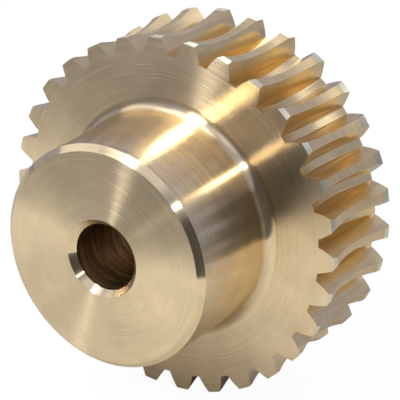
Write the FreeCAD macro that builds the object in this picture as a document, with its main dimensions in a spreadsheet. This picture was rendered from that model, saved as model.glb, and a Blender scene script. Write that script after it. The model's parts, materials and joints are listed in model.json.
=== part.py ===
import FreeCAD, Part
import Sketcher
import math
import os

# Worm gear with a one-sided hub, turned and hobbed from one piece of bronze.
#
# The gear is modelled about its own axis, with the hub towards +Z and the middle plane of the
# teeth at zero, and is then laid over by its Placement. In the part's frame the bore runs along Y
# with the hub's nose towards -Y, +Z is up, and the origin is on the bore's axis in the middle
# plane of the teeth. The gear stands on two teeth, with a tooth space straight down between them.

# Driving dimensions in millimetres, apart from a count and an angle in degrees.
DRIVING_DIMENSIONS = {
    "tooth_count": 30,
    "pitch_diameter": 63.5,
    "worm_pitch_diameter": 38.1,
    "pressure_angle": 20.0,
    "dedendum": 2.449,
    "throat_diameter": 67.733,
    "throat_arc_radius": 30.48,
    "outside_diameter": 70.485,
    "face_width": 21.431,
    "hub_diameter": 42.863,
    "hub_projection": 21.828,
    "hub_root_fillet": 2.38,
    "hub_nose_chamfer": 1.15,
    "bore_diameter": 12.7,
    "bore_chamfer": 1.15,
}

# How finely a tooth space is drawn, and how far its cutter runs clear of the blank.
SECTION_COUNT = 5
FLANK_POINT_COUNT = 6
FILLET_POINT_COUNT = 3
FILLET_KNOT_STEP = 0.4
CUTTER_OVERRUN = 0.5

# Sketcher's numbers for a sketch's own axes and origin, and for the points of an edge.
HORIZONTAL_AXIS = -1
VERTICAL_AXIS = -2
ORIGIN_POINT = (-1, 1)
START = 1
END = 2
CENTRE = 3

doc = FreeCAD.newDocument("worm_gear")

sheet = doc.addObject("Spreadsheet::Sheet", "Sizes")
for row, (alias, value) in enumerate(DRIVING_DIMENSIONS.items(), start=1):
    sheet.set(f"A{row}", alias)
    sheet.set(f"B{row}", str(value))
    sheet.setAlias(f"B{row}", alias)
doc.recompute()

tooth_count = int(sheet.tooth_count)
pitch_radius = sheet.pitch_diameter / 2
worm_radius = sheet.worm_pitch_diameter / 2
centre_distance = pitch_radius + worm_radius
worm_tip_radius = worm_radius + sheet.dedendum
flank_slope = math.tan(math.radians(sheet.pressure_angle))
tooth_pitch = 2 * math.pi * pitch_radius / tooth_count
half_face = sheet.face_width / 2
nose_height = half_face + sheet.hub_projection
rim_radius = sheet.outside_diameter / 2
throat_radius = sheet.throat_diameter / 2
hub_radius = sheet.hub_diameter / 2
bore_radius = sheet.bore_diameter / 2

body = doc.addObject("PartDesign::Body", "worm_gear")
body.Label = "worm_gear"


def new_sketch(name, role, height=0.0):
    """An empty sketch on one of the body's origin planes, or that far above it."""
    sketch = body.newObject("Sketcher::SketchObject", name)
    plane = next(item for item in body.Origin.OriginFeatures if item.Role == role)
    sketch.AttachmentSupport = [(plane, "")]
    sketch.MapMode = "FlatFace"
    sketch.AttachmentOffset = FreeCAD.Placement(FreeCAD.Vector(0, 0, height), FreeCAD.Rotation())
    return sketch


def bind(sketch, name, constraint, expression):
    """Add a sized constraint under a name and drive it from the sheet."""
    number = sketch.addConstraint(constraint)
    sketch.renameConstraint(number, name)
    sketch.setExpression("Constraints." + name, expression)


def cut_is_real(feature, before):
    """Stop if a feature that has to remove metal left the volume as it was."""
    if feature.Shape.Volume > before.Shape.Volume - 1.0:
        raise RuntimeError(feature.Name + " removed nothing")


def circular_edges(feature, radius, height):
    """Names of a feature's circular edges of one radius at one height."""
    names = []
    for number, edge in enumerate(feature.Shape.Edges, start=1):
        if not isinstance(edge.Curve, Part.Circle):
            continue
        same_radius = abs(edge.Curve.Radius - radius) < 1e-4
        same_height = abs(edge.Curve.Center.z - height) < 1e-4
        if same_radius and same_height:
            names.append(f"Edge{number}")
    return names


def dress_edges(kind, name, before, edges, size_property, expression):
    """A fillet or chamfer along named edges of the feature before it."""
    feature = body.newObject(kind, name)
    feature.Base = (before, edges)
    feature.setExpression(size_property, expression)
    doc.recompute()
    return feature


# The blank: a flat disc for the rim and web, with the hub standing on one side.
blank_sketch = new_sketch("blank_outline", "XZ_Plane")
blank_corners = [
    (0, -half_face),
    (rim_radius, -half_face),
    (rim_radius, half_face),
    (hub_radius, half_face),
    (hub_radius, nose_height),
    (0, nose_height),
]
for index, corner in enumerate(blank_corners):
    following = blank_corners[(index + 1) % len(blank_corners)]
    line = Part.LineSegment(FreeCAD.Vector(*corner, 0), FreeCAD.Vector(*following, 0))
    blank_sketch.addGeometry(line, False)
    direction = "Horizontal" if corner[1] == following[1] else "Vertical"
    blank_sketch.addConstraint(Sketcher.Constraint(direction, index))
for index in range(len(blank_corners)):
    next_index = (index + 1) % len(blank_corners)
    blank_sketch.addConstraint(Sketcher.Constraint("Coincident", index, END, next_index, START))
blank_sketch.addConstraint(Sketcher.Constraint("PointOnObject", 0, START, VERTICAL_AXIS))
bind(
    blank_sketch,
    "back_face",
    Sketcher.Constraint("DistanceY", 0, START, *ORIGIN_POINT, half_face),
    "Sizes.face_width / 2",
)
bind(
    blank_sketch,
    "rim_radius",
    Sketcher.Constraint("DistanceX", *ORIGIN_POINT, 1, START, rim_radius),
    "Sizes.outside_diameter / 2",
)
bind(
    blank_sketch,
    "front_face",
    Sketcher.Constraint("DistanceY", *ORIGIN_POINT, 2, START, half_face),
    "Sizes.face_width / 2",
)
bind(
    blank_sketch,
    "hub_radius",
    Sketcher.Constraint("DistanceX", *ORIGIN_POINT, 3, START, hub_radius),
    "Sizes.hub_diameter / 2",
)
bind(
    blank_sketch,
    "hub_nose",
    Sketcher.Constraint("DistanceY", *ORIGIN_POINT, 4, START, nose_height),
    "Sizes.face_width / 2 + Sizes.hub_projection",
)
blank = body.newObject("PartDesign::Revolution", "blank")
blank.Profile = blank_sketch
blank.ReferenceAxis = (blank_sketch, ["V_Axis"])
blank.Angle = 360
doc.recompute()

# The throat: a shallow arc turned into the rim, which leaves a narrow land at each side.
chord_radius = rim_radius + CUTTER_OVERRUN
arc_centre_radius = throat_radius + sheet.throat_arc_radius
half_angle = math.acos((arc_centre_radius - chord_radius) / sheet.throat_arc_radius)
throat_sketch = new_sketch("throat_outline", "XZ_Plane")
throat_circle = Part.Circle(
    FreeCAD.Vector(arc_centre_radius, 0, 0), FreeCAD.Vector(0, 0, 1), sheet.throat_arc_radius
)
throat_arc = Part.ArcOfCircle(throat_circle, math.pi - half_angle, math.pi + half_angle)
chord = Part.LineSegment(throat_arc.EndPoint, throat_arc.StartPoint)
throat_sketch.addGeometry(throat_arc, False)
throat_sketch.addGeometry(chord, False)
throat_sketch.addConstraint(Sketcher.Constraint("Coincident", 0, END, 1, START))
throat_sketch.addConstraint(Sketcher.Constraint("Coincident", 1, END, 0, START))
throat_sketch.addConstraint(Sketcher.Constraint("Vertical", 1))
throat_sketch.addConstraint(Sketcher.Constraint("PointOnObject", 0, CENTRE, HORIZONTAL_AXIS))
bind(
    throat_sketch,
    "arc_radius",
    Sketcher.Constraint("Radius", 0, sheet.throat_arc_radius),
    "Sizes.throat_arc_radius",
)
bind(
    throat_sketch,
    "arc_centre",
    Sketcher.Constraint("DistanceX", *ORIGIN_POINT, 0, CENTRE, arc_centre_radius),
    "Sizes.throat_diameter / 2 + Sizes.throat_arc_radius",
)
bind(
    throat_sketch,
    "chord",
    Sketcher.Constraint("DistanceX", *ORIGIN_POINT, 1, START, chord_radius),
    f"Sizes.outside_diameter / 2 + {CUTTER_OVERRUN}",
)
throat = body.newObject("PartDesign::Groove", "throat")
throat.Profile = throat_sketch
throat.ReferenceAxis = (throat_sketch, ["V_Axis"])
throat.Angle = 360
doc.recompute()
cut_is_real(throat, blank)

# The hub's root fillet and its chamfered nose.
hub_root = dress_edges(
    "PartDesign::Fillet",
    "hub_root",
    throat,
    circular_edges(throat, hub_radius, half_face),
    "Radius",
    "Sizes.hub_root_fillet",
)
hub_nose = dress_edges(
    "PartDesign::Chamfer",
    "hub_nose",
    hub_root,
    circular_edges(hub_root, hub_radius, nose_height),
    "Size",
    "Sizes.hub_nose_chamfer",
)
cut_is_real(hub_nose, hub_root)

# The plain through bore, chamfered at both ends.
bore_sketch = new_sketch("bore_outline", "XY_Plane", nose_height)
bore_sketch.setExpression(".AttachmentOffset.Base.z", "Sizes.face_width / 2 + Sizes.hub_projection")
bore_circle = Part.Circle(FreeCAD.Vector(0, 0, 0), FreeCAD.Vector(0, 0, 1), bore_radius)
bore_sketch.addGeometry(bore_circle, False)
bore_sketch.addConstraint(Sketcher.Constraint("Coincident", 0, CENTRE, *ORIGIN_POINT))
bind(
    bore_sketch,
    "bore_radius",
    Sketcher.Constraint("Radius", 0, bore_radius),
    "Sizes.bore_diameter / 2",
)
doc.recompute()
bore = body.newObject("PartDesign::Hole", "bore")
bore.Profile = bore_sketch
bore.DepthType = "ThroughAll"
bore.setExpression("Diameter", "Sizes.bore_diameter")
doc.recompute()
cut_is_real(bore, hub_nose)
bore_mouths = dress_edges(
    "PartDesign::Chamfer",
    "bore_mouths",
    bore,
    circular_edges(bore, bore_radius, nose_height) + circular_edges(bore, bore_radius, -half_face),
    "Size",
    "Sizes.bore_chamfer",
)
cut_is_real(bore_mouths, bore)


def blank_radius(height):
    """Outside radius of the throated rim at a height above the middle plane."""
    depth_of_arc = math.sqrt(sheet.throat_arc_radius**2 - height**2)
    return min(rim_radius, throat_radius + sheet.throat_arc_radius - depth_of_arc)


def thread_half_width(side, reach, height):
    """Where one flank of the worm's thread stands in a plane, by its reach from the worm's axis."""
    radius = math.hypot(reach, height)
    half_thread = tooth_pitch / 4 - (radius - worm_radius) * flank_slope
    return side * half_thread - tooth_pitch / (2 * math.pi) * math.atan2(height, reach)


def rolled(across, outward, roll):
    """A point of the worm's section, carried into the gear after the gear has rolled that far."""
    turn = roll / pitch_radius
    slid = across + roll
    x = math.cos(turn) * slid - math.sin(turn) * outward
    y = math.sin(turn) * slid + math.cos(turn) * outward
    return FreeCAD.Vector(x, y, 0)


def contact_roll(side, reach, height):
    """The roll at which a point of the thread's flank touches the gear's tooth.

    There the flank's normal goes through the point where the two pitch lines meet.
    """
    radius = math.hypot(reach, height)
    lead_part = tooth_pitch / (2 * math.pi) * height / radius**2
    slope = -side * flank_slope * reach / radius + lead_part
    across = thread_half_width(side, reach, height)
    outward = centre_distance - reach
    return -across - (pitch_radius - outward) / slope


def flank_points(side, height):
    """One side of a tooth space in a plane, from beyond the rim down to the space's floor."""
    floor_reach = math.sqrt(worm_tip_radius**2 - height**2)
    rim_reach = centre_distance - blank_radius(height) - CUTTER_OVERRUN
    points = []
    for index in range(FLANK_POINT_COUNT):
        part_way = index / (FLANK_POINT_COUNT - 1)
        reach = rim_reach + (floor_reach - rim_reach) * part_way
        across = thread_half_width(side, reach, height)
        roll = contact_roll(side, reach, height)
        points.append(rolled(across, centre_distance - reach, roll))
    # Below the last contact, the thread's corner sweeps out the fillet down to the floor.
    corner = thread_half_width(side, floor_reach, height)
    last_contact = contact_roll(side, floor_reach, height)
    for index in range(1, FILLET_POINT_COUNT + 1):
        part_way = index / FILLET_POINT_COUNT
        roll = last_contact + (-corner - last_contact) * part_way
        points.append(rolled(corner, centre_distance - floor_reach, roll))
    return points


def add_space_section(number, height):
    """A closed section of one tooth space: two curved flanks, the floor and an outer chord.

    The flanks have the same knots in every section, which keeps the lofted faces light.
    """
    flank_knots = [float(index) for index in range(FLANK_POINT_COUNT)]
    fillet_knots = [
        flank_knots[-1] + FILLET_KNOT_STEP * index for index in range(1, FILLET_POINT_COUNT + 1)
    ]
    knots = flank_knots + fillet_knots
    sketch = new_sketch(f"space_section_{number}", "XY_Plane", height)
    left = flank_points(-1, height)
    left_curve = Part.BSplineCurve()
    left_curve.interpolate(Points=left, Parameters=knots)
    right = flank_points(1, height)
    right_curve = Part.BSplineCurve()
    right_curve.interpolate(Points=right, Parameters=knots)
    right_curve.reverse()
    sketch.addGeometry(left_curve, False)
    sketch.addGeometry(Part.LineSegment(left[-1], right[-1]), False)
    sketch.addGeometry(right_curve, False)
    sketch.addGeometry(Part.LineSegment(right[0], left[0]), False)
    return sketch


# One tooth space, cut through the sections that the worm's thread leaves in planes across the
# face, and then repeated round the rim.
section_sketches = []
section_limit = half_face + CUTTER_OVERRUN
for number in range(SECTION_COUNT):
    section_height = section_limit * (2 * number / (SECTION_COUNT - 1) - 1)
    section_sketches.append(add_space_section(number, section_height))
doc.recompute()
tooth_space = body.newObject("PartDesign::SubtractiveLoft", "tooth_space")
tooth_space.Profile = section_sketches[0]
tooth_space.Sections = [(sketch, [""]) for sketch in section_sketches[1:]]
doc.recompute()
cut_is_real(tooth_space, bore_mouths)

tooth_spaces = body.newObject("PartDesign::PolarPattern", "tooth_spaces")
tooth_spaces.Originals = [tooth_space]
tooth_spaces.Axis = (section_sketches[0], ["N_Axis"])
tooth_spaces.Angle = 360
tooth_spaces.setExpression("Occurrences", "Sizes.tooth_count")
body.Tip = tooth_spaces
doc.recompute()
one_space = bore_mouths.Shape.Volume - tooth_space.Shape.Volume
all_spaces = bore_mouths.Shape.Volume - tooth_spaces.Shape.Volume
if abs(all_spaces - tooth_count * one_space) > one_space / 2:
    raise RuntimeError("the pattern did not cut every tooth space")

body.Placement = FreeCAD.Placement(
    FreeCAD.Vector(0, 0, 0), FreeCAD.Rotation(FreeCAD.Vector(1, 0, 0), 90)
)
doc.recompute()

for item in doc.Objects:
    if "Invalid" in item.State or "Error" in item.State:
        raise RuntimeError(item.Name + " did not compute")
if body.Shape.isNull() or not body.Shape.isValid():
    raise RuntimeError("the gear's shape is not valid")
if len(body.Shape.Solids) != 1:
    raise RuntimeError("the gear is not one solid")

os.makedirs("parts", exist_ok=True)
body.Shape.exportStep("parts/" + body.Label + ".step")
box = body.Shape.optimalBoundingBox(False)
print("volume", round(body.Shape.Volume, 1), "mm3")
print("box", [round(value, 3) for value in (box.XMin, box.YMin, box.ZMin, box.XMax, box.YMax, box.ZMax)])
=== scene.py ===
"""A bronze worm gear with a one-sided hub, standing on two teeth under soft studio light.

Lengths are in metres. The gear's axis is the frame's Y axis with the hub's nose towards -Y, and
the origin is on that axis in the middle plane of the teeth. The gear is worked out about its own
axis, where a height is measured from that plane towards the hub, and is then laid along -Y.
"""
import json
import math

import bpy
from mathutils import Matrix, Vector


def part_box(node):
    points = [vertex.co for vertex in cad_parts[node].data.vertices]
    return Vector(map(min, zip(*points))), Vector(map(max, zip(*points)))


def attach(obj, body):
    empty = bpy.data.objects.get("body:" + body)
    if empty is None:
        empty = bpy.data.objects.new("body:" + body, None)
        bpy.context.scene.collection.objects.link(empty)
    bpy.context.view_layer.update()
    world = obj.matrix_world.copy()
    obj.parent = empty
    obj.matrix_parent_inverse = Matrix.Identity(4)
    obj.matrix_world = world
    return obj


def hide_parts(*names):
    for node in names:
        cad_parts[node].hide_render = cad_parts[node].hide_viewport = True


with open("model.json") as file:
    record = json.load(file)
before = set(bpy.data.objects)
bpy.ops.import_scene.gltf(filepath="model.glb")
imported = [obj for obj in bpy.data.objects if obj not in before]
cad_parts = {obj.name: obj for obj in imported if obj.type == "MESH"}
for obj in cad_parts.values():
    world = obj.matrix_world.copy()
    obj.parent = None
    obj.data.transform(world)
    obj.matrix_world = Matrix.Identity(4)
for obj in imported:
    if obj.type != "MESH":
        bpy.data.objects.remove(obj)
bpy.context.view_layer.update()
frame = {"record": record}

MM = 0.001

# Sizes that the frame gives.
gear_low, gear_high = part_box("worm_gear")
mounts = {mount["name"]: mount for mount in frame["record"]["mounts"]}
HALF_FACE = gear_high.y
NOSE_HEIGHT = -gear_low.y
RIM_RADIUS = gear_high.x
BORE_RADIUS = mounts["bore"]["dims"]["r_mm"] * MM
PITCH_RADIUS = mounts["worm_mesh"]["pos_m"][2]

# The gear's other sizes, the same as in the design.
TOOTH_COUNT = 30
WORM_RADIUS = 19.05 * MM
CENTRE_DISTANCE = PITCH_RADIUS + WORM_RADIUS
WORM_TIP_RADIUS = WORM_RADIUS + 2.449 * MM
FLANK_SLOPE = math.tan(math.radians(20))
THROAT_RADIUS = 67.733 / 2 * MM
THROAT_ARC_RADIUS = 30.48 * MM
HUB_RADIUS = 42.863 / 2 * MM
HUB_FILLET = 2.38 * MM
NOSE_CHAMFER = 1.15 * MM
BORE_CHAMFER = 1.15 * MM
TOOTH_PITCH = 2 * math.pi * PITCH_RADIUS / TOOTH_COUNT
PITCH_ANGLE = 2 * math.pi / TOOTH_COUNT

# Height at which the throat runs out into the rim's plain cylinder.
THROAT_RISE = RIM_RADIUS - THROAT_RADIUS
LAND_EDGE = math.sqrt(THROAT_ARC_RADIUS**2 - (THROAT_ARC_RADIUS - THROAT_RISE) ** 2)

# How far inside the tooth spaces' floors each flat face's plain circle lies.
FACE_MARGIN = 0.6 * MM

# How finely the mesh is drawn.
FLANK_POINTS = 11
FILLET_POINTS = 6
ROOT_POINTS = 3
TIP_POINTS = 5
THROAT_SLICES = 16
ARC_SEGMENTS = 8
SEGMENTS_PER_PITCH = 8
TIP_HALVINGS = 40

# Broken edges: how far each is cut back, in how many steps, how much more the nose's edges are,
# and the largest share of EDGE_ROUND that any edge may have.
EDGE_ROUND = 0.11 * MM
EDGE_STEPS = 2
NOSE_SHARE = 1.4
LARGEST_SHARE = 2


# ---------------------------------------------------------------- tooth form

def blank_radius(height):
    """Outside radius of the throated rim at a height above the middle plane."""
    depth_of_arc = math.sqrt(THROAT_ARC_RADIUS**2 - height**2)
    return min(RIM_RADIUS, THROAT_RADIUS + THROAT_ARC_RADIUS - depth_of_arc)


def thread_half_width(side, reach, height):
    """Where one flank of the worm's thread stands in a plane, by its reach from the worm's axis."""
    radius = math.hypot(reach, height)
    half_thread = TOOTH_PITCH / 4 - (radius - WORM_RADIUS) * FLANK_SLOPE
    return side * half_thread - TOOTH_PITCH / (2 * math.pi) * math.atan2(height, reach)


def rolled(across, outward, roll):
    """A point of the worm's section, carried into the gear after the gear has rolled that far."""
    turn = roll / PITCH_RADIUS
    slid = across + roll
    x = math.cos(turn) * slid - math.sin(turn) * outward
    y = math.sin(turn) * slid + math.cos(turn) * outward
    return x, y


def contact_roll(side, reach, height):
    """The roll at which a point of the thread's flank touches the gear's tooth."""
    radius = math.hypot(reach, height)
    lead_part = TOOTH_PITCH / (2 * math.pi) * height / radius**2
    slope = -side * FLANK_SLOPE * reach / radius + lead_part
    across = thread_half_width(side, reach, height)
    return -across - (PITCH_RADIUS - (CENTRE_DISTANCE - reach)) / slope


def flank_point(side, reach, height):
    """A point of the gear's flank, cut by the thread's flank at that reach."""
    across = thread_half_width(side, reach, height)
    return rolled(across, CENTRE_DISTANCE - reach, contact_roll(side, reach, height))


def tip_reach(side, height, floor_reach):
    """The reach at which the flank meets the rim's outside, by halving the interval."""
    target = blank_radius(height)
    inner = CENTRE_DISTANCE - target
    outer = floor_reach
    for _ in range(TIP_HALVINGS):
        middle = (inner + outer) / 2
        if math.hypot(*flank_point(side, middle, height)) > target:
            inner = middle
        else:
            outer = middle
    return inner


def flank_line(side, height):
    """One side of a tooth space in a plane, from the tip down to the space's floor."""
    floor_reach = math.sqrt(WORM_TIP_RADIUS**2 - height**2)
    top_reach = tip_reach(side, height, floor_reach)
    points = []
    for index in range(FLANK_POINTS):
        reach = top_reach + (floor_reach - top_reach) * index / (FLANK_POINTS - 1)
        points.append(flank_point(side, reach, height))
    corner = thread_half_width(side, floor_reach, height)
    last_contact = contact_roll(side, floor_reach, height)
    for index in range(1, FILLET_POINTS + 1):
        roll = last_contact + (-corner - last_contact) * index / FILLET_POINTS
        points.append(rolled(corner, CENTRE_DISTANCE - floor_reach, roll))
    return points


def between(start, end, count):
    """Points on a circle about the axis, evenly between two others on it."""
    radius = (math.hypot(*start) + math.hypot(*end)) / 2
    first = math.atan2(start[0], start[1])
    last = math.atan2(end[0], end[1])
    points = []
    for index in range(1, count + 1):
        turn = first + (last - first) * index / (count + 1)
        points.append((radius * math.sin(turn), radius * math.cos(turn)))
    return points


def turned(point, angle):
    """A point turned clockwise about the axis."""
    x, y = point
    return (
        x * math.cos(angle) + y * math.sin(angle),
        y * math.cos(angle) - x * math.sin(angle),
    )


def pitch_outline(height):
    """One pitch of the toothed outline: the space, from its left tip, and the tooth after it."""
    left = flank_line(-1, height)
    right = flank_line(1, height)
    right.reverse()
    floor = between(left[-1], right[0], ROOT_POINTS)
    next_left = turned(left[0], PITCH_ANGLE)
    tip = between(right[-1], next_left, TIP_POINTS)
    return left + floor + right + tip


# ---------------------------------------------------------------- mesh

SIDE_POINTS = FLANK_POINTS + FILLET_POINTS
PITCH_POINTS = 2 * SIDE_POINTS + ROOT_POINTS + TIP_POINTS
RING_POINTS = PITCH_POINTS * TOOTH_COUNT
LEFT_TIP = 0
MID_FLOOR = SIDE_POINTS + ROOT_POINTS // 2
RIGHT_TIP = 2 * SIDE_POINTS + ROOT_POINTS - 1

FACE, ROUND, FLANK, THROAT, RIM, BORE = range(6)


class MeshParts:
    """Vertices, faces and edges to be rounded, gathered before the mesh is made."""

    def __init__(self):
        self.vertices = []
        self.faces = []
        self.slots = []
        self.rounded = {}

    def add_ring(self, points, height):
        """A ring of points about the axis at one height, laid into the frame."""
        start = len(self.vertices)
        for x, y in points:
            self.vertices.append((x, -height, y))
        return [start + index for index in range(len(points))]

    def add_face(self, corners, slot):
        """One face with its material slot."""
        self.faces.append(corners)
        self.slots.append(slot)

    def bridge(self, ring, next_ring, slot):
        """Quads between two rings with the same number of points."""
        count = len(ring)
        for index in range(count):
            following = (index + 1) % count
            corners = (ring[index], ring[following], next_ring[following], next_ring[index])
            self.add_face(corners, slot)

    def round_edge(self, first, second, share=1):
        """Marks an edge to be rounded by a share of EDGE_ROUND."""
        self.rounded[(min(first, second), max(first, second))] = share

    def round_ring(self, ring, share=1):
        """Marks every edge of a ring."""
        for index, vertex in enumerate(ring):
            self.round_edge(vertex, ring[(index + 1) % len(ring)], share)


def slice_heights():
    """Heights of the slices across the face, from the back to the hub's side."""
    heights = [-HALF_FACE, -(HALF_FACE + LAND_EDGE) / 2]
    for index in range(THROAT_SLICES + 1):
        heights.append(LAND_EDGE * (2 * index / THROAT_SLICES - 1))
    heights += [(HALF_FACE + LAND_EDGE) / 2, HALF_FACE]
    return heights


def outline_slot(index, height):
    """The material slot of the outline's stretch after a point of one pitch, at a height."""
    if index < RIGHT_TIP:
        return FLANK
    return RIM if abs(height) > LAND_EDGE else THROAT


def add_teeth(parts):
    """The toothed rim between its two faces. Returns the outline rings at the back and front."""
    rings = []
    heights = slice_heights()
    for height in heights:
        outline = pitch_outline(height)
        points = []
        for tooth in range(TOOTH_COUNT):
            points += [turned(point, tooth * PITCH_ANGLE) for point in outline]
        rings.append(parts.add_ring(points, height))
    for lower, upper, start, end in zip(rings, rings[1:], heights, heights[1:]):
        middle = (start + end) / 2
        for index in range(RING_POINTS):
            following = (index + 1) % RING_POINTS
            corners = (lower[index], lower[following], upper[following], upper[index])
            parts.add_face(corners, outline_slot(index % PITCH_POINTS, middle))
            if index % PITCH_POINTS in (LEFT_TIP, RIGHT_TIP):
                parts.round_edge(lower[index], upper[index])
    parts.round_ring(rings[0])
    parts.round_ring(rings[-1])
    return rings[0], rings[-1]


def add_face_rim(parts, outline, height, facing):
    """The flat face from the toothed outline in to a plain circle.

    Returns that circle's ring and the angle at which it starts.
    """
    floor_radius = CENTRE_DISTANCE - math.sqrt(WORM_TIP_RADIUS**2 - HALF_FACE**2)
    corner = parts.vertices[outline[MID_FLOOR]]
    first = math.atan2(corner[0], corner[2])
    segments = SEGMENTS_PER_PITCH * TOOTH_COUNT
    circle = circle_points(floor_radius - FACE_MARGIN, first, segments)
    ring = parts.add_ring(circle, height)
    for tooth in range(TOOTH_COUNT):
        start = tooth * PITCH_POINTS + MID_FLOOR
        outer = [outline[(start + step) % RING_POINTS] for step in range(PITCH_POINTS + 1)]
        begin = tooth * SEGMENTS_PER_PITCH
        inner = [ring[(begin + step) % segments] for step in range(SEGMENTS_PER_PITCH + 1)]
        corners = outer + inner[::-1]
        parts.add_face(tuple(corners if facing > 0 else corners[::-1]), FACE)
    return ring, first


def circle_points(radius, first, segments):
    """Points of a circle, clockwise from an angle measured from straight up."""
    points = []
    for index in range(segments):
        turn = first + 2 * math.pi * index / segments
        points.append((radius * math.sin(turn), radius * math.cos(turn)))
    return points


def hub_profile():
    """The turned outline from the web to the back face: radius, height, slot, rounding share.

    The slot is the one of the band that ends at the point.
    """
    profile = [(HUB_RADIUS + HUB_FILLET, HALF_FACE, FACE, 0)]
    for index in range(1, ARC_SEGMENTS + 1):
        turn = math.pi / 2 * index / ARC_SEGMENTS
        radius = HUB_RADIUS + HUB_FILLET * (1 - math.sin(turn))
        height = HALF_FACE + HUB_FILLET * (1 - math.cos(turn))
        profile.append((radius, height, ROUND, 0))
    mid_height = (HALF_FACE + NOSE_HEIGHT) / 2
    profile += [
        (HUB_RADIUS, mid_height, ROUND, 0),
        (HUB_RADIUS, NOSE_HEIGHT - NOSE_CHAMFER, ROUND, NOSE_SHARE),
        (HUB_RADIUS - NOSE_CHAMFER, NOSE_HEIGHT, ROUND, NOSE_SHARE),
        (BORE_RADIUS + BORE_CHAMFER, NOSE_HEIGHT, FACE, 1),
        (BORE_RADIUS, NOSE_HEIGHT - BORE_CHAMFER, ROUND, 1),
        (BORE_RADIUS, BORE_CHAMFER - HALF_FACE, BORE, 1),
        (BORE_RADIUS + BORE_CHAMFER, -HALF_FACE, ROUND, 1),
    ]
    return profile


def add_turned_surfaces(parts, front_ring, front_start, back_ring, back_start):
    """The web, hub, nose, bore and back face, from the front circle round to the back one."""
    segments = len(front_ring)
    previous = front_ring
    for radius, height, slot, share in hub_profile():
        start = front_start if height > 0 else back_start
        ring = parts.add_ring(circle_points(radius, start, segments), height)
        parts.bridge(previous, ring, slot)
        if share:
            parts.round_ring(ring, share)
        previous = ring
    parts.bridge(previous, back_ring, FACE)


def make_gear():
    """The whole gear as one mesh, with its sharp edges slightly rounded."""
    parts = MeshParts()
    back_outline, front_outline = add_teeth(parts)
    front_ring, front_start = add_face_rim(parts, front_outline, HALF_FACE, 1)
    back_ring, back_start = add_face_rim(parts, back_outline, -HALF_FACE, -1)
    add_turned_surfaces(parts, front_ring, front_start, back_ring, back_start)
    mesh = bpy.data.meshes.new("bronze_worm_gear")
    mesh.from_pydata(parts.vertices, [], parts.faces)
    mesh.polygons.foreach_set("material_index", parts.slots)
    mesh.shade_smooth()
    weights = mesh.attributes.new("bevel_weight_edge", "FLOAT", "EDGE")
    for edge in mesh.edges:
        key = (min(edge.vertices), max(edge.vertices))
        weights.data[edge.index].value = parts.rounded.get(key, 0) / LARGEST_SHARE
    mesh.update()
    gear = bpy.data.objects.new("bronze_worm_gear", mesh)
    bpy.context.scene.collection.objects.link(gear)
    rounding = gear.modifiers.new("edge rounding", "BEVEL")
    rounding.limit_method = "WEIGHT"
    rounding.width = LARGEST_SHARE * EDGE_ROUND
    rounding.segments = EDGE_STEPS
    rounding.harden_normals = True
    rounding.use_clamp_overlap = True
    return gear


# ---------------------------------------------------------------- material

BRONZE = (0.84, 0.67, 0.425)
ROUND_BRONZE = (0.83, 0.66, 0.40)
FLANK_BRONZE = (0.82, 0.63, 0.34)
# Painted highlight: the rim's plain lands get a paler bronze that stands in for their bright reflection.
PALE_HIGHLIGHT_BRONZE = (0.98, 0.87, 0.63)
# Painted shade: the bore's bronze is darker, and its dark streak colour darker still, standing in for the
# shade inside the bore.
BORE_SHADED_BRONZE = (0.72, 0.52, 0.28)
BORE_STREAKS_AND_SHADE = (0.26, 0.17, 0.09)

# The noise behind the tool marks: its cycles in one radian round the axis, and its octaves.
MARKS_PER_RADIAN = 2
MARK_DETAIL = 3

# The cloudy change of tone, in cycles per metre, and how marks and clouds together set the tone
# between a darker and a lighter share of the metal's colour.
CLOUD_SCALE = 180
CLOUD_DETAIL = 4
TONE_GAIN = 0.9
TONE_OFFSET = 0.4
DARK_SHARE = 0.78
LIGHT_SHARE = 1.17

ROUGHNESS_SPREAD = 0.08
QUARTER_TURN = 0.25

# The bore's streaks: cycles per metre along each axis, their tilt, and the noise values between
# which dark streaks, partly drill marks and partly painted shade, give way to bright metal.
DRILL_SCALE = (150, 1300, 150)
DRILL_TILT = 12
DRILL_DARK = 0.38
DRILL_BRIGHT = 0.64


def new_material(name):
    """A node material, with its nodes and its links."""
    material = bpy.data.materials.new(name)
    material.use_nodes = True
    return material, material.node_tree.nodes, material.node_tree.links


def math_node(nodes, links, operation, first, second=None):
    """A Math node whose inputs are numbers or sockets."""
    node = nodes.new("ShaderNodeMath")
    node.operation = operation
    for socket, value in zip(node.inputs, (first, second)):
        if value is None:
            continue
        if isinstance(value, (int, float)):
            socket.default_value = value
        else:
            links.new(value, socket)
    return node.outputs[0]


def gear_coordinates(nodes, links):
    """The place on the gear, its distance from the axis and its place along it, as sockets."""
    place = nodes.new("ShaderNodeTexCoord").outputs["Object"]
    parts = nodes.new("ShaderNodeSeparateXYZ")
    links.new(place, parts.inputs[0])
    x_squared = math_node(nodes, links, "MULTIPLY", parts.outputs["X"], parts.outputs["X"])
    z_squared = math_node(nodes, links, "MULTIPLY", parts.outputs["Z"], parts.outputs["Z"])
    total = math_node(nodes, links, "ADD", x_squared, z_squared)
    radius = math_node(nodes, links, "SQRT", total)
    return place, radius, parts.outputs["Y"]


def vector_node(nodes, links, operation, first, second=None):
    """A Vector Math node whose second input is a fixed vector or a socket."""
    node = nodes.new("ShaderNodeVectorMath")
    node.operation = operation
    links.new(first, node.inputs[0])
    if isinstance(second, tuple):
        node.inputs[1].default_value = second
    elif second is not None:
        links.new(second, node.inputs[1])
    return node.outputs[0]


def noise(nodes, links, source, scale, detail):
    """A noise texture's value at a scale in cycles per metre."""
    node = nodes.new("ShaderNodeTexNoise")
    node.inputs["Scale"].default_value = scale
    node.inputs["Detail"].default_value = detail
    links.new(source, node.inputs["Vector"])
    return node.outputs[0]


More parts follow.
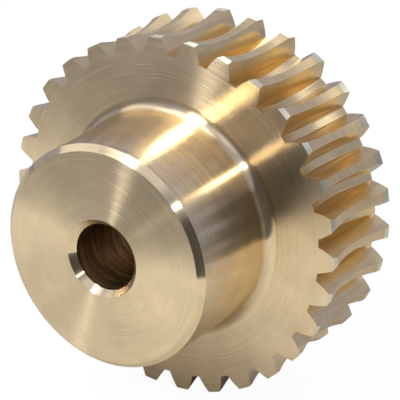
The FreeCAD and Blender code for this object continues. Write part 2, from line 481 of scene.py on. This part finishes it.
def tool_marks(nodes, links, place, line, scale):
    """Fine marks that run round the axis in long arcs, spaced along a line across them."""
    flat = vector_node(nodes, links, "MULTIPLY", place, (1, 0, 1))
    turn = vector_node(nodes, links, "NORMALIZE", flat)
    spread = (MARKS_PER_RADIAN, 0, MARKS_PER_RADIAN)
    around = vector_node(nodes, links, "MULTIPLY", turn, spread)
    across = nodes.new("ShaderNodeCombineXYZ")
    links.new(math_node(nodes, links, "MULTIPLY", line, scale), across.inputs["Y"])
    both = vector_node(nodes, links, "ADD", around, across.outputs[0])
    return noise(nodes, links, both, 1.0, MARK_DETAIL)


def drill_marks(nodes, links, place):
    """Uneven marks that a drill leaves round a bore, as a value from 0 to 1; its low values carry painted
    shade.
    """
    stretch = nodes.new("ShaderNodeMapping")
    stretch.inputs["Scale"].default_value = DRILL_SCALE
    stretch.inputs["Rotation"].default_value = (math.radians(DRILL_TILT), 0, 0)
    links.new(place, stretch.inputs["Vector"])
    streaks = noise(nodes, links, stretch.outputs[0], 1.0, MARK_DETAIL)
    sharpen = nodes.new("ShaderNodeMapRange")
    sharpen.inputs["From Min"].default_value = DRILL_DARK
    sharpen.inputs["From Max"].default_value = DRILL_BRIGHT
    links.new(streaks, sharpen.inputs["Value"])
    return sharpen.outputs[0]


def bronze(name, colour, roughness, anisotropy, mark_height, mark_scale, slope=0.0, along="radius"):
    """Machined bronze, with the marks of the tool running round the axis.

    The marks are spaced along the radius or the axis, at a scale in cycles per metre. The slope
    leans the shading outwards, as a slightly dished face would.
    """
    material, nodes, links = new_material(name)
    shader = nodes["Principled BSDF"]
    place, radius, axial = gear_coordinates(nodes, links)
    line = radius if along == "radius" else axial
    shader.inputs["Metallic"].default_value = 1.0
    shader.inputs["Anisotropic"].default_value = anisotropy
    shader.inputs["Anisotropic Rotation"].default_value = QUARTER_TURN
    tangent = nodes.new("ShaderNodeTangent")
    tangent.direction_type = "RADIAL"
    tangent.axis = "Y"
    links.new(tangent.outputs[0], shader.inputs["Tangent"])

    marks = tool_marks(nodes, links, place, line, mark_scale)
    clouds = noise(nodes, links, place, CLOUD_SCALE, CLOUD_DETAIL)
    mixed = math_node(nodes, links, "ADD", clouds, marks)
    scaled = math_node(nodes, links, "MULTIPLY", mixed, TONE_GAIN)
    tone = nodes.new("ShaderNodeMixRGB")
    tone.inputs[1].default_value = (*[channel * DARK_SHARE for channel in colour], 1)
    tone.inputs[2].default_value = (*[min(1, channel * LIGHT_SHARE) for channel in colour], 1)
    links.new(math_node(nodes, links, "SUBTRACT", scaled, TONE_OFFSET), tone.inputs[0])
    links.new(tone.outputs[0], shader.inputs["Base Color"])

    spread = math_node(nodes, links, "MULTIPLY", marks, ROUGHNESS_SPREAD)
    rough = math_node(nodes, links, "ADD", spread, roughness - ROUGHNESS_SPREAD / 2)
    links.new(rough, shader.inputs["Roughness"])

    relief = math_node(nodes, links, "MULTIPLY", marks, mark_height)
    dish = math_node(nodes, links, "MULTIPLY", line, slope)
    height = math_node(nodes, links, "ADD", relief, dish)
    bump = nodes.new("ShaderNodeBump")
    bump.inputs["Strength"].default_value = 1.0
    bump.inputs["Distance"].default_value = 1.0
    links.new(height, bump.inputs["Height"])
    links.new(bump.outputs[0], shader.inputs["Normal"])
    return material


def bore_bronze():
    """The bore's bronze, darkened as painted shade of the hole's inside, with dark drill streaks that are
    partly painted shade.
    """
    material = bronze("bore_wall", BORE_SHADED_BRONZE, 0.30, 0.6, mark_height=4e-6, mark_scale=600, along="axis")
    nodes = material.node_tree.nodes
    links = material.node_tree.links
    shader = nodes["Principled BSDF"]
    place = nodes.new("ShaderNodeTexCoord").outputs["Object"]
    # Painted shade: the dark streaks darken the bore, partly as drill marks and partly as shade inside
    # it.
    dark_streaks_and_shade = nodes.new("ShaderNodeMixRGB")
    dark_streaks_and_shade.inputs[1].default_value = (*BORE_STREAKS_AND_SHADE, 1)
    links.new(shader.inputs["Base Color"].links[0].from_socket, dark_streaks_and_shade.inputs[2])
    links.new(drill_marks(nodes, links, place), dark_streaks_and_shade.inputs[0])
    links.new(dark_streaks_and_shade.outputs[0], shader.inputs["Base Color"])
    return material


def add_materials(gear):
    """One finish for each slot, in the order of the slots."""
    finishes = (
        bronze("turned_faces", BRONZE, 0.26, 1.0, mark_height=2e-6, mark_scale=2600, slope=-0.10),
        bronze("turned_rounds", ROUND_BRONZE, 0.19, 1.0, mark_height=8e-7, mark_scale=2200, along="axis"),
        bronze("hobbed_flanks", FLANK_BRONZE, 0.24, 0.3, mark_height=9e-6, mark_scale=1000),
        bronze("throat_lands", FLANK_BRONZE, 0.34, 0.4, mark_height=2e-6, mark_scale=1500, along="axis"),
        # The rim's paler colour is a painted highlight on its lands.
        bronze("turned_rim", PALE_HIGHLIGHT_BRONZE, 0.42, 1.0, mark_height=2e-6, mark_scale=1500, along="axis"),
        bore_bronze(),
    )
    for finish in finishes:
        gear.data.materials.append(finish)


# ---------------------------------------------------------------- stage, light and camera

# The floor is lit paper that glows for the camera. Its tint goes from the front colour to a darker
# back colour over a stretch of Y, with X bringing in a share of itself; the darker back is painted
# shade, standing in for the shade behind the gear that the metal reflects.
FLOOR_SIZE = 6.0
FLOOR_GLOW = 1.06
FLOOR_GLOW_SHARE = 0.9
FLOOR_FRONT = (0.67, 0.66, 0.59)
FLOOR_BACK_SHADE = (0.50, 0.49, 0.48)
FLOOR_FADE_FROM = -0.075
FLOOR_FADE_TO = 0.04
FLOOR_FADE_SKEW = -0.25

LIGHT_DISTANCE = 0.7
ROOM_COLOUR = (0.90, 0.95, 1.30)
ROOM_BRIGHTNESS = 0.45

# The screens round the front.
FLAG_STEPS = 24
FLAG_RADIUS = 0.15
FLAG_TOP = 0.07

# The camera, as far from the gear as a long lens needs.
CAMERA_AZIMUTH = 31.89
CAMERA_ELEVATION = 24.06
CAMERA_DISTANCE = 0.3858
CAMERA_ROLL = 2.22
CAMERA_LENS = 181.25
CAMERA_SENSOR = 36
CAMERA_CLIP_START = 0.01


def add_floor():
    """A pale floor under the teeth that the gear stands on, darkened towards the back by painted shade.
    """
    half = FLOOR_SIZE / 2
    mesh = bpy.data.meshes.new("floor")
    corners = [(-half, -half, 0), (half, -half, 0), (half, half, 0), (-half, half, 0)]
    mesh.from_pydata(corners, [], [(0, 1, 2, 3)])
    floor = bpy.data.objects.new("floor", mesh)
    floor.location.z = gear_low.z
    bpy.context.scene.collection.objects.link(floor)
    material, nodes, links = new_material("pale_floor")
    shader = nodes["Principled BSDF"]
    parts = nodes.new("ShaderNodeSeparateXYZ")
    links.new(nodes.new("ShaderNodeTexCoord").outputs["Object"], parts.inputs[0])
    depth = nodes.new("ShaderNodeMapRange")
    depth.inputs["From Min"].default_value = FLOOR_FADE_FROM
    depth.inputs["From Max"].default_value = FLOOR_FADE_TO
    skewed = math_node(nodes, links, "MULTIPLY", parts.outputs["X"], FLOOR_FADE_SKEW)
    links.new(math_node(nodes, links, "ADD", parts.outputs["Y"], skewed), depth.inputs["Value"])
    # Painted shade: the floor's colour darkens towards +Y and towards -X, standing in for the shade
    # behind the gear.
    paper = nodes.new("ShaderNodeMixRGB")
    paper.inputs[1].default_value = (*FLOOR_FRONT, 1)
    paper.inputs[2].default_value = (*FLOOR_BACK_SHADE, 1)
    links.new(depth.outputs[0], paper.inputs[0])
    links.new(paper.outputs[0], shader.inputs["Base Color"])
    shader.inputs["Roughness"].default_value = 1.0
    shader.inputs["Specular IOR Level"].default_value = 0.0
    glow = nodes.new("ShaderNodeEmission")
    glow.inputs["Color"].default_value = (1, 1, 1, 1)
    glow.inputs["Strength"].default_value = FLOOR_GLOW
    chooser = nodes.new("ShaderNodeMixShader")
    path = nodes.new("ShaderNodeLightPath")
    share = math_node(nodes, links, "MULTIPLY", path.outputs["Is Camera Ray"], FLOOR_GLOW_SHARE)
    links.new(share, chooser.inputs[0])
    links.new(shader.outputs[0], chooser.inputs[1])
    links.new(glow.outputs[0], chooser.inputs[2])
    links.new(chooser.outputs[0], nodes["Material Output"].inputs["Surface"])
    floor.data.materials.append(material)


def direction(azimuth, elevation):
    """A unit vector: azimuth in degrees from the hub's side towards +X, elevation above level."""
    turn = math.radians(azimuth)
    rise = math.radians(elevation)
    return Vector((math.sin(turn) * math.cos(rise), -math.cos(turn) * math.cos(rise), math.sin(rise)))


def add_softbox(name, azimuth, elevation, size, brightness, lean=0):
    """A soft rectangular light aimed at the gear, as bright as a sheet of that radiance.

    The size is its width and height, and it leans by an angle about its own line of aim.
    """
    width, height = size
    light = bpy.data.lights.new(name, "AREA")
    light.shape = "RECTANGLE"
    light.size = width
    light.size_y = height
    light.energy = math.pi * width * height * brightness
    lamp = bpy.data.objects.new(name, light)
    towards = direction(azimuth, elevation)
    aimed = towards.to_track_quat("Z", "Y").to_matrix().to_4x4()
    turn = Matrix.Rotation(math.radians(lean), 4, "Z")
    lamp.matrix_world = Matrix.Translation(towards * LIGHT_DISTANCE) @ aimed @ turn
    lamp.visible_camera = False
    bpy.context.scene.collection.objects.link(lamp)


def add_flag(name, start, end, grey):
    """A low screen round part of the front, which only the metal's reflections see."""
    mesh = bpy.data.meshes.new(name)
    vertices = []
    for step in range(FLAG_STEPS + 1):
        azimuth = start + (end - start) * step / FLAG_STEPS
        foot = direction(azimuth, 0) * FLAG_RADIUS
        vertices.append((foot.x, foot.y, gear_low.z))
        vertices.append((foot.x, foot.y, FLAG_TOP))
    faces = [(foot, foot + 2, foot + 3, foot + 1) for foot in range(0, 2 * FLAG_STEPS, 2)]
    mesh.from_pydata(vertices, [], faces)
    flag = bpy.data.objects.new(name, mesh)
    bpy.context.scene.collection.objects.link(flag)
    material, nodes, _ = new_material(name + "_cloth")
    shader = nodes["Principled BSDF"]
    shader.inputs["Base Color"].default_value = (grey, grey, grey, 1)
    shader.inputs["Roughness"].default_value = 1.0
    flag.data.materials.append(material)
    flag.visible_camera = False
    flag.visible_diffuse = False
    flag.visible_shadow = False


def add_world():
    """A dim studio all round, behind a white backdrop for the camera."""
    world = bpy.data.worlds.new("studio")
    bpy.context.scene.world = world
    world.use_nodes = True
    nodes = world.node_tree.nodes
    links = world.node_tree.links
    room = nodes["Background"]
    room.inputs["Color"].default_value = (*ROOM_COLOUR, 1)
    room.inputs["Strength"].default_value = ROOM_BRIGHTNESS
    backdrop = nodes.new("ShaderNodeBackground")
    backdrop.inputs["Color"].default_value = (1, 1, 1, 1)
    chooser = nodes.new("ShaderNodeMixShader")
    path = nodes.new("ShaderNodeLightPath")
    links.new(path.outputs["Is Camera Ray"], chooser.inputs[0])
    links.new(room.outputs[0], chooser.inputs[1])
    links.new(backdrop.outputs[0], chooser.inputs[2])
    links.new(chooser.outputs[0], nodes["World Output"].inputs["Surface"])


def add_lights():
    """The strips that make the bright streaks, the panels that fill, the screens and the room."""
    add_softbox("key_strip", -18, 49, (0.11, 0.40), 18.0, lean=8)
    add_softbox("overhead_softbox", -60, 74, (0.50, 0.60), 1.6)
    add_softbox("side_strip", 47, 37, (0.50, 0.03), 17.0, lean=29)
    add_softbox("left_panel", -80, 36, (0.50, 0.36), 0.7)
    add_softbox("right_panel", 118, 45, (0.30, 0.30), 1.0)
    add_softbox("back_panel", 165, 62, (0.40, 0.25), 0.6)
    add_softbox("front_panel", 12, 44, (0.30, 0.30), 0.5)
    add_flag("grey_flag", -65, -22, 0.35)
    add_flag("dark_flag", -22, 85, 0.12)
    add_world()


def add_camera():
    """The scene's camera, aimed at the gear's origin."""
    data = bpy.data.cameras.new("camera")
    data.lens = CAMERA_LENS
    data.sensor_width = CAMERA_SENSOR
    data.clip_start = CAMERA_CLIP_START
    camera = bpy.data.objects.new("camera", data)
    towards = direction(CAMERA_AZIMUTH, CAMERA_ELEVATION)
    aimed = towards.to_track_quat("Z", "Y").to_matrix().to_4x4()
    roll = Matrix.Rotation(math.radians(CAMERA_ROLL), 4, "Z")
    camera.matrix_world = Matrix.Translation(towards * CAMERA_DISTANCE) @ aimed @ roll
    bpy.context.scene.collection.objects.link(camera)
    bpy.context.scene.camera = camera


gear = make_gear()
add_materials(gear)
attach(gear, "root")
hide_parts("worm_gear")
add_floor()
add_lights()
add_camera()
bpy.context.scene.view_settings.view_transform = "Standard"
